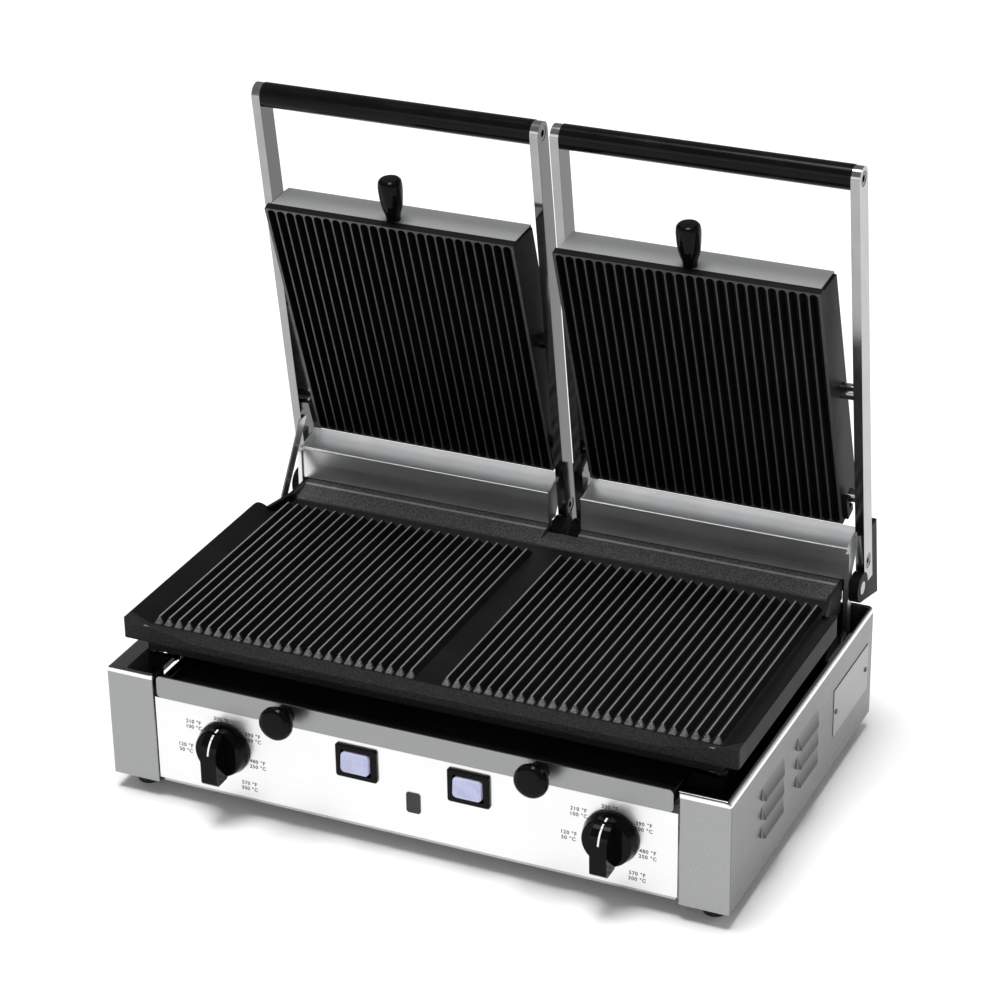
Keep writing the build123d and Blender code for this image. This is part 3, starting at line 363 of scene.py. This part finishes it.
# Side wall zones, painted light and shade on one sheet: painted shade on the top flange, a painted
# highlight along the top bend, the front face of the post painted lighter as the lit face, and painted
# shade on the louvres' hoods
SIDE_LOW, SIDE_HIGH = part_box("side_panel_right")
SIDE_TOP_SHADE = ((UP, SIDE_HIGH), -1.9 * MM, -1.6 * MM)
SIDE_BEND_HIGHLIGHT = [((UP, SIDE_HIGH), -5.6 * MM, -4.8 * MM), ((UP, SIDE_HIGH), -1.3 * MM, -1.9 * MM)]
POST_FACE_LIGHT = ((FRONT, SIDE_LOW), -1.5 * MM, -1.0 * MM)
RIGHT_HOOD_SHADE = ((RIGHT, SIDE_HIGH), -3.4 * MM, -0.2 * MM)
LEFT_HOOD_SHADE = ((LEFT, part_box("side_panel_left")[0]), -3.4 * MM, -0.2 * MM)

# Everything of a splash guard behind its front wall
GUARD_INSIDE = ((BACK, (0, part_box("right_splash_guard")[1][1], 0)), -26.0 * MM, -24.0 * MM)

# Arm faces nearer the middle than OUTER_FACE carry painted shade, darker than the outermost ones
ARMS = ["left_outer_arm", "left_inner_arm", "right_inner_arm", "right_outer_arm"]
OUTER_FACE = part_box("right_outer_arm")[1][0] - 1.0 * MM
SHADED_FACE_LEVEL = 0.10


def inner_faces(names):
    """Painted-shade zones on both side faces of the inner arms and on the outer arms' faces towards the
    plates.
    """
    zones = []
    for name in names:
        low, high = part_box(name)
        for x in (low[0], high[0]):
            if abs(x) < OUTER_FACE:
                face = (RIGHT, (x, 0, 0))
                limits = [(face, -0.30 * MM, -0.15 * MM), (face, 0.30 * MM, 0.15 * MM)]
                zones.append((limits, SHADED_FACE_LEVEL))
    return zones


# Metals take a grey level and a roughness, and a brush direction where they are brushed.
MATERIALS = {
    # Side walls: painted shade on the top flange and louvre hoods, painted highlight on the top bend,
    # painted light on the post face
    "side_steel": brushed_metal("side_steel", 0.17, 0.28, "Y", contrast=0.012,
                                zones=[([POST_FACE_LIGHT], 0.33, 0.24, 0.32),
                                       ([RIGHT_HOOD_SHADE], 0.05, 0.28, 0.34), ([LEFT_HOOD_SHADE], 0.05, 0.28, 0.34),
                                       ([SIDE_TOP_SHADE], 0.14, 0.05, 0.10), (SIDE_BEND_HIGHLIGHT, 0.90, 0.20, 0.30)]),
    "sheet_steel": brushed_metal("sheet_steel", 0.45, 0.26, "X"),
    "bright_panel": brushed_metal("bright_panel", 0.84, 0.30, "X", 0.002, 0.012),
    "brushed_strip": brushed_metal("brushed_strip", 0.31, 0.32, "X", contrast=0.012),
    "cover_steel": brushed_metal("cover_steel", 0.46, 0.58, "X", contrast=0.012),
    "guard_steel": brushed_metal("guard_steel", 0.80, 0.30, "X", contrast=0.012,
                                 zones=[([GUARD_INSIDE], 0.85, 0.42, 0.50)]),
    "plate_blank": brushed_metal("plate_blank", 0.30, 0.30, "Y", contrast=0.012),
    "polished_steel": polished_metal("polished_steel", 0.30, 0.10),
    "arm_steel": polished_metal("arm_steel", 0.34, 0.10, inner_faces(ARMS)),
    "blued_steel": polished_metal("blued_steel", 0.10, 0.22),
    "dull_steel": brushed_metal("dull_steel", 0.12, 0.42, "X"),
    "griddle_iron": cast_iron("griddle_iron", 0.0075, GRIDDLE_TIPS, GRIDDLE_ZONES),
    "plate_iron": cast_iron("plate_iron", 0.0030, PLATE_TIPS),
    "lever_black": enamel("lever_black", 0.003, 0.50),
    "tray_enamel": enamel("tray_enamel", 0.012, 0.30),
    "gloss_black": gloss_plastic("gloss_black", grey(0.0015), grey(0.003, 0.02), 0.10),
    "grip_black": gloss_plastic("grip_black", grey(0.0025), grey(0.005, 0.02), 0.16, 0.00002),
    "badge_grey": gloss_plastic("badge_grey", grey(0.05), grey(0.08), 0.35),
    "cream_moulding": gloss_plastic("cream_moulding", (0.55, 0.50, 0.38, 1), (0.66, 0.61, 0.48, 1), 0.45),
    "lens": switch_lens("lens"),
    "rubber": rubber("rubber"),
    "fibre": fibre_pad("fibre"),
    "element": scorched_steel("element"),
    "ink_black": printed_ink("ink_black", 0.02),
    "ink_white": printed_ink("ink_white", 0.80),
}

NODE_LOOKS = {
    "side_steel": ["side_panel_left", "side_panel_right"],
    "sheet_steel": ["base_pan", "rear_panel", "heater_clamps", "hinge_brackets", "side_stay"],
    "bright_panel": ["front_panel"],
    "brushed_strip": ["tray_front"],
    "cover_steel": ["left_upper_cover", "right_upper_cover"],
    "guard_steel": ["left_splash_guard", "right_splash_guard"],
    "plate_blank": ["rating_plate"],
    "arm_steel": ARMS,
    "polished_steel": ["left_pivot_pins", "right_pivot_pins", "left_tilt_stops", "right_tilt_stops",
                       "left_handle_rod", "right_handle_rod", "hinge_shafts",
                       "left_thermostat_shaft", "right_thermostat_shaft"],
    "dull_steel": ["griddle_studs", "counterbalance_springs", "tray_runners", "rating_plate_rivets"],
    "blued_steel": ["left_head_screws", "right_head_screws"],
    "griddle_iron": ["lower_griddle"],
    "plate_iron": ["left_upper_plate", "right_upper_plate"],
    "lever_black": ["left_hinge_levers", "right_hinge_levers"],
    "tray_enamel": ["drip_tray"],
    "gloss_black": ["left_cover_knob", "right_cover_knob", "left_thermostat_knob", "right_thermostat_knob",
                    "tray_knobs", "switch_housings", "cable_gland"],
    "grip_black": ["left_handle_grip", "right_handle_grip"],
    "badge_grey": ["badge"],
    "cream_moulding": ["thermostats", "terminal_block"],
    "lens": ["left_rocker", "right_rocker"],
    "rubber": ["feet"],
    "fibre": ["left_upper_insulation", "right_upper_insulation"],
    "element": ["lower_heaters", "left_upper_heater", "right_upper_heater"],
}


def dress_nodes():
    """Give every CAD node its material."""
    for look, names in NODE_LOOKS.items():
        for name in names:
            slots = NODES[name].data.materials
            if not slots:
                slots.append(MATERIALS[look])
            for index in range(len(slots)):
                slots[index] = MATERIALS[look]


# ---------------------------------------------------------------- small pieces
def centre_of(name):
    """Middle of a CAD node's box."""
    low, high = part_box(name)
    return (Vector(low) + Vector(high)) / 2


def mesh_piece(name, vertices, faces, material, body):
    """Mesh object that rides on a body."""
    mesh = bpy.data.meshes.new(name)
    mesh.from_pydata(vertices, [], faces)
    mesh.update()
    mesh.materials.append(MATERIALS[material])
    piece = bpy.data.objects.new(name, mesh)
    bpy.context.scene.collection.objects.link(piece)
    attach(piece, body)
    return piece


def surface_tree(name):
    """Ray-casting tree of a CAD node."""
    mesh = NODES[name].data
    return BVHTree.FromPolygons([v.co for v in mesh.vertices], [p.vertices for p in mesh.polygons])


def text_piece(name, words, place, material, body):
    """Flat lettering on a face that looks towards -Y."""
    curve = bpy.data.curves.new(name, "FONT")
    curve.body = words
    curve.size = LETTER_SIZE
    curve.align_x = "CENTER"
    curve.align_y = "CENTER"
    curve.extrude = PRINT_THICKNESS
    curve.offset = LETTER_WEIGHT
    curve.space_character = LETTER_SPACING
    curve.materials.append(MATERIALS[material])
    piece = bpy.data.objects.new(name, curve)
    piece.matrix_world = Matrix.Translation(place) @ Matrix.Rotation(math.pi / 2, 4, "X")
    bpy.context.scene.collection.objects.link(piece)
    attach(piece, body)
    return piece


def dial_scale(side):
    """Temperature figures printed round a thermostat knob, hot end clockwise."""
    spindle = centre_of(side + "_thermostat_shaft")
    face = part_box("front_panel")[0][1] - PRINT_GAP
    for index, (x, z, upper, lower) in enumerate(DIAL_FIGURES):
        for row, words in enumerate((upper + " °F", lower + " °C")):
            name = "%s_dial_mark_%d_%d" % (side, index, row)
            place = Vector((spindle.x + x * MM, face, spindle.z + z * MM + LINE_PITCH * (0.5 - row)))
            text_piece(name, words, place, "ink_black", "base")


def pointer_line(side):
    """White line along the upper half of a knob's grip, laid on its surface."""
    tree = surface_tree(side + "_thermostat_knob")
    spindle = centre_of(side + "_thermostat_shaft")
    vertices, faces = [], []
    for step in range(POINTER_STEPS + 1):
        z = spindle.z + POINTER_LOW + (POINTER_HIGH - POINTER_LOW) * step / POINTER_STEPS
        for x in (spindle.x - POINTER_HALF_WIDTH, spindle.x + POINTER_HALF_WIDTH):
            hit = tree.ray_cast(Vector((x, -1.0, z)), Vector(BACK))[0]
            vertices.append((x, hit.y - PRINT_GAP, z))
    for first in range(0, 2 * POINTER_STEPS, 2):
        faces.append((first, first + 1, first + 3, first + 2))
    mesh_piece(side + "_pointer_line", vertices, faces, "ink_white", side + "_thermostat")


def shade_smooth_by_angle(degrees=35.0):
    """Smooth shading on curved faces, sharp at real edges."""
    for node in NODES.values():
        mesh = node.data
        mesh.shade_smooth()
        mesh.set_sharp_from_angle(angle=math.radians(degrees))


# ---------------------------------------------------------------- stage
def stage_material(name, level):
    """Pale matte floor with hardly visible variation."""
    n = Nodes(name)
    cloud = n.noise(3.0, 2.0)
    colour = n.mix(n.spread(cloud, 0.0, 1.0), grey(level), grey(level + 0.01))
    return n.set(Base_Color=colour, Roughness=0.85, Specular_IOR_Level=0.1)


def build_stage():
    """Level floor that reaches the horizon."""
    reach = FLOOR_REACH
    mesh = bpy.data.meshes.new("floor")
    vertices = [(-reach, -reach, 0), (reach, -reach, 0), (reach, reach, 0), (-reach, reach, 0)]
    mesh.from_pydata(vertices, [], [(0, 1, 2, 3)])
    mesh.materials.append(stage_material("floor_pale", FLOOR_LEVEL))
    floor = bpy.data.objects.new("floor", mesh)
    bpy.context.scene.collection.objects.link(floor)


def area_light(name, place, size, level):
    """Square soft light aimed at the object."""
    light = bpy.data.lights.new(name, "AREA")
    light.size = size
    light.energy = level
    lamp = bpy.data.objects.new(name, light)
    lamp.location = place
    lamp.rotation_euler = (Vector(LIGHT_AIM) - Vector(place)).to_track_quat("-Z", "Y").to_euler()
    bpy.context.scene.collection.objects.link(lamp)


def build_light():
    """Even pale surround with a broad overhead key, a front fill and a back light."""
    world = bpy.data.worlds.new("surround")
    world.use_nodes = True
    background = world.node_tree.nodes["Background"]
    background.inputs["Color"].default_value = (1.0, 1.0, 1.0, 1.0)
    background.inputs["Strength"].default_value = WORLD_LEVEL
    bpy.context.scene.world = world
    key = bpy.data.lights.new("key", "SUN")
    key.energy = KEY_LEVEL
    key.angle = math.radians(KEY_SPREAD)
    lamp = bpy.data.objects.new("key", key)
    lamp.rotation_euler = KEY_DIRECTION.to_track_quat("-Z", "Y").to_euler()
    bpy.context.scene.collection.objects.link(lamp)
    area_light("fill", FILL_PLACE, FILL_SIZE, FILL_LEVEL)
    area_light("back", BACK_PLACE, BACK_SIZE, BACK_LEVEL)


def build_camera():
    """Camera at the viewing angle, with its roll."""
    forward = Vector((-math.sin(CAMERA_YAW) * math.cos(CAMERA_PITCH),
                      math.cos(CAMERA_YAW) * math.cos(CAMERA_PITCH), -math.sin(CAMERA_PITCH)))
    level_right = Vector((math.cos(CAMERA_YAW), math.sin(CAMERA_YAW), 0))
    level_up = level_right.cross(forward)
    right = math.cos(CAMERA_ROLL) * level_right + math.sin(CAMERA_ROLL) * level_up
    up = -math.sin(CAMERA_ROLL) * level_right + math.cos(CAMERA_ROLL) * level_up
    lens = bpy.data.cameras.new("camera")
    lens.sensor_width = SENSOR_WIDTH
    lens.lens = CAMERA_LENS
    lens.clip_end = VIEW_REACH
    camera = bpy.data.objects.new("camera", lens)
    turn = Matrix((right, up, -forward)).transposed().to_4x4()
    camera.matrix_world = Matrix.Translation(CAMERA_PLACE) @ turn
    bpy.context.scene.collection.objects.link(camera)
    bpy.context.scene.camera = camera


# ---------------------------------------------------------------- assembly
build_camera()
build_stage()
build_light()
bpy.context.scene.view_settings.view_transform = "Standard"
shade_smooth_by_angle()
dress_nodes()
for side_name in ("left", "right"):
    dial_scale(side_name)
    pointer_line(side_name)
